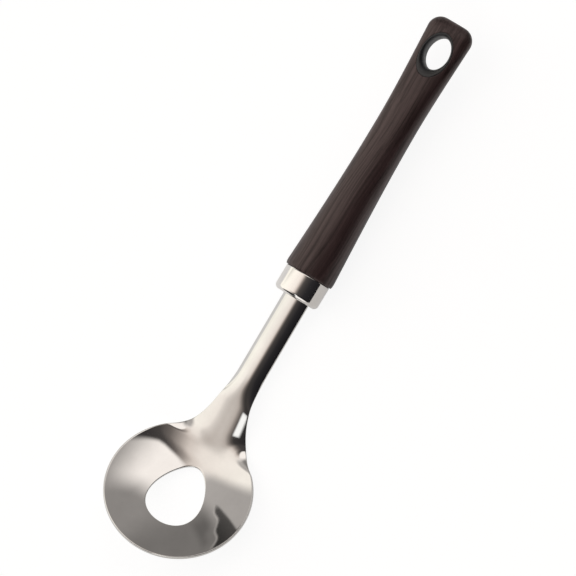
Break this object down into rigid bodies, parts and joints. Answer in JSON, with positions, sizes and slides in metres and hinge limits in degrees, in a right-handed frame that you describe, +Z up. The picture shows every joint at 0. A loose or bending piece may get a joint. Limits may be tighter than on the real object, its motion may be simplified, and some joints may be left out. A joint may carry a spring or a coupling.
{
  "type": "meatball spoon",
  "caption": "Meatball spoon: shallow round steel dish with an egg-shaped hole, arched shank, steel ferrule and wood-grain plastic handle with a lined hanging hole.",
  "frame": {"origin": "on the ground under the middle of the spoon's length", "axes": "+X along the handle axis towards the hanging end, +Z up, out of the open dish"},
  "size_m": [0.2456, 0.061, 0.0222],
  "materials": {
    "head_steel": "polished stainless steel",
    "ferrule_steel": "polished stainless steel",
    "wood_grain": "satin, printed with a dark wood grain",
    "liner": "satin",
    "cement": "cured resin"
  },
  "bodies": {
    "root": {"spoon_head": "head_steel", "ferrule": "ferrule_steel", "handle": "wood_grain", "hanging_eyelet": "liner", "tang_cement": "cement"}
  },
  "joints": []
}
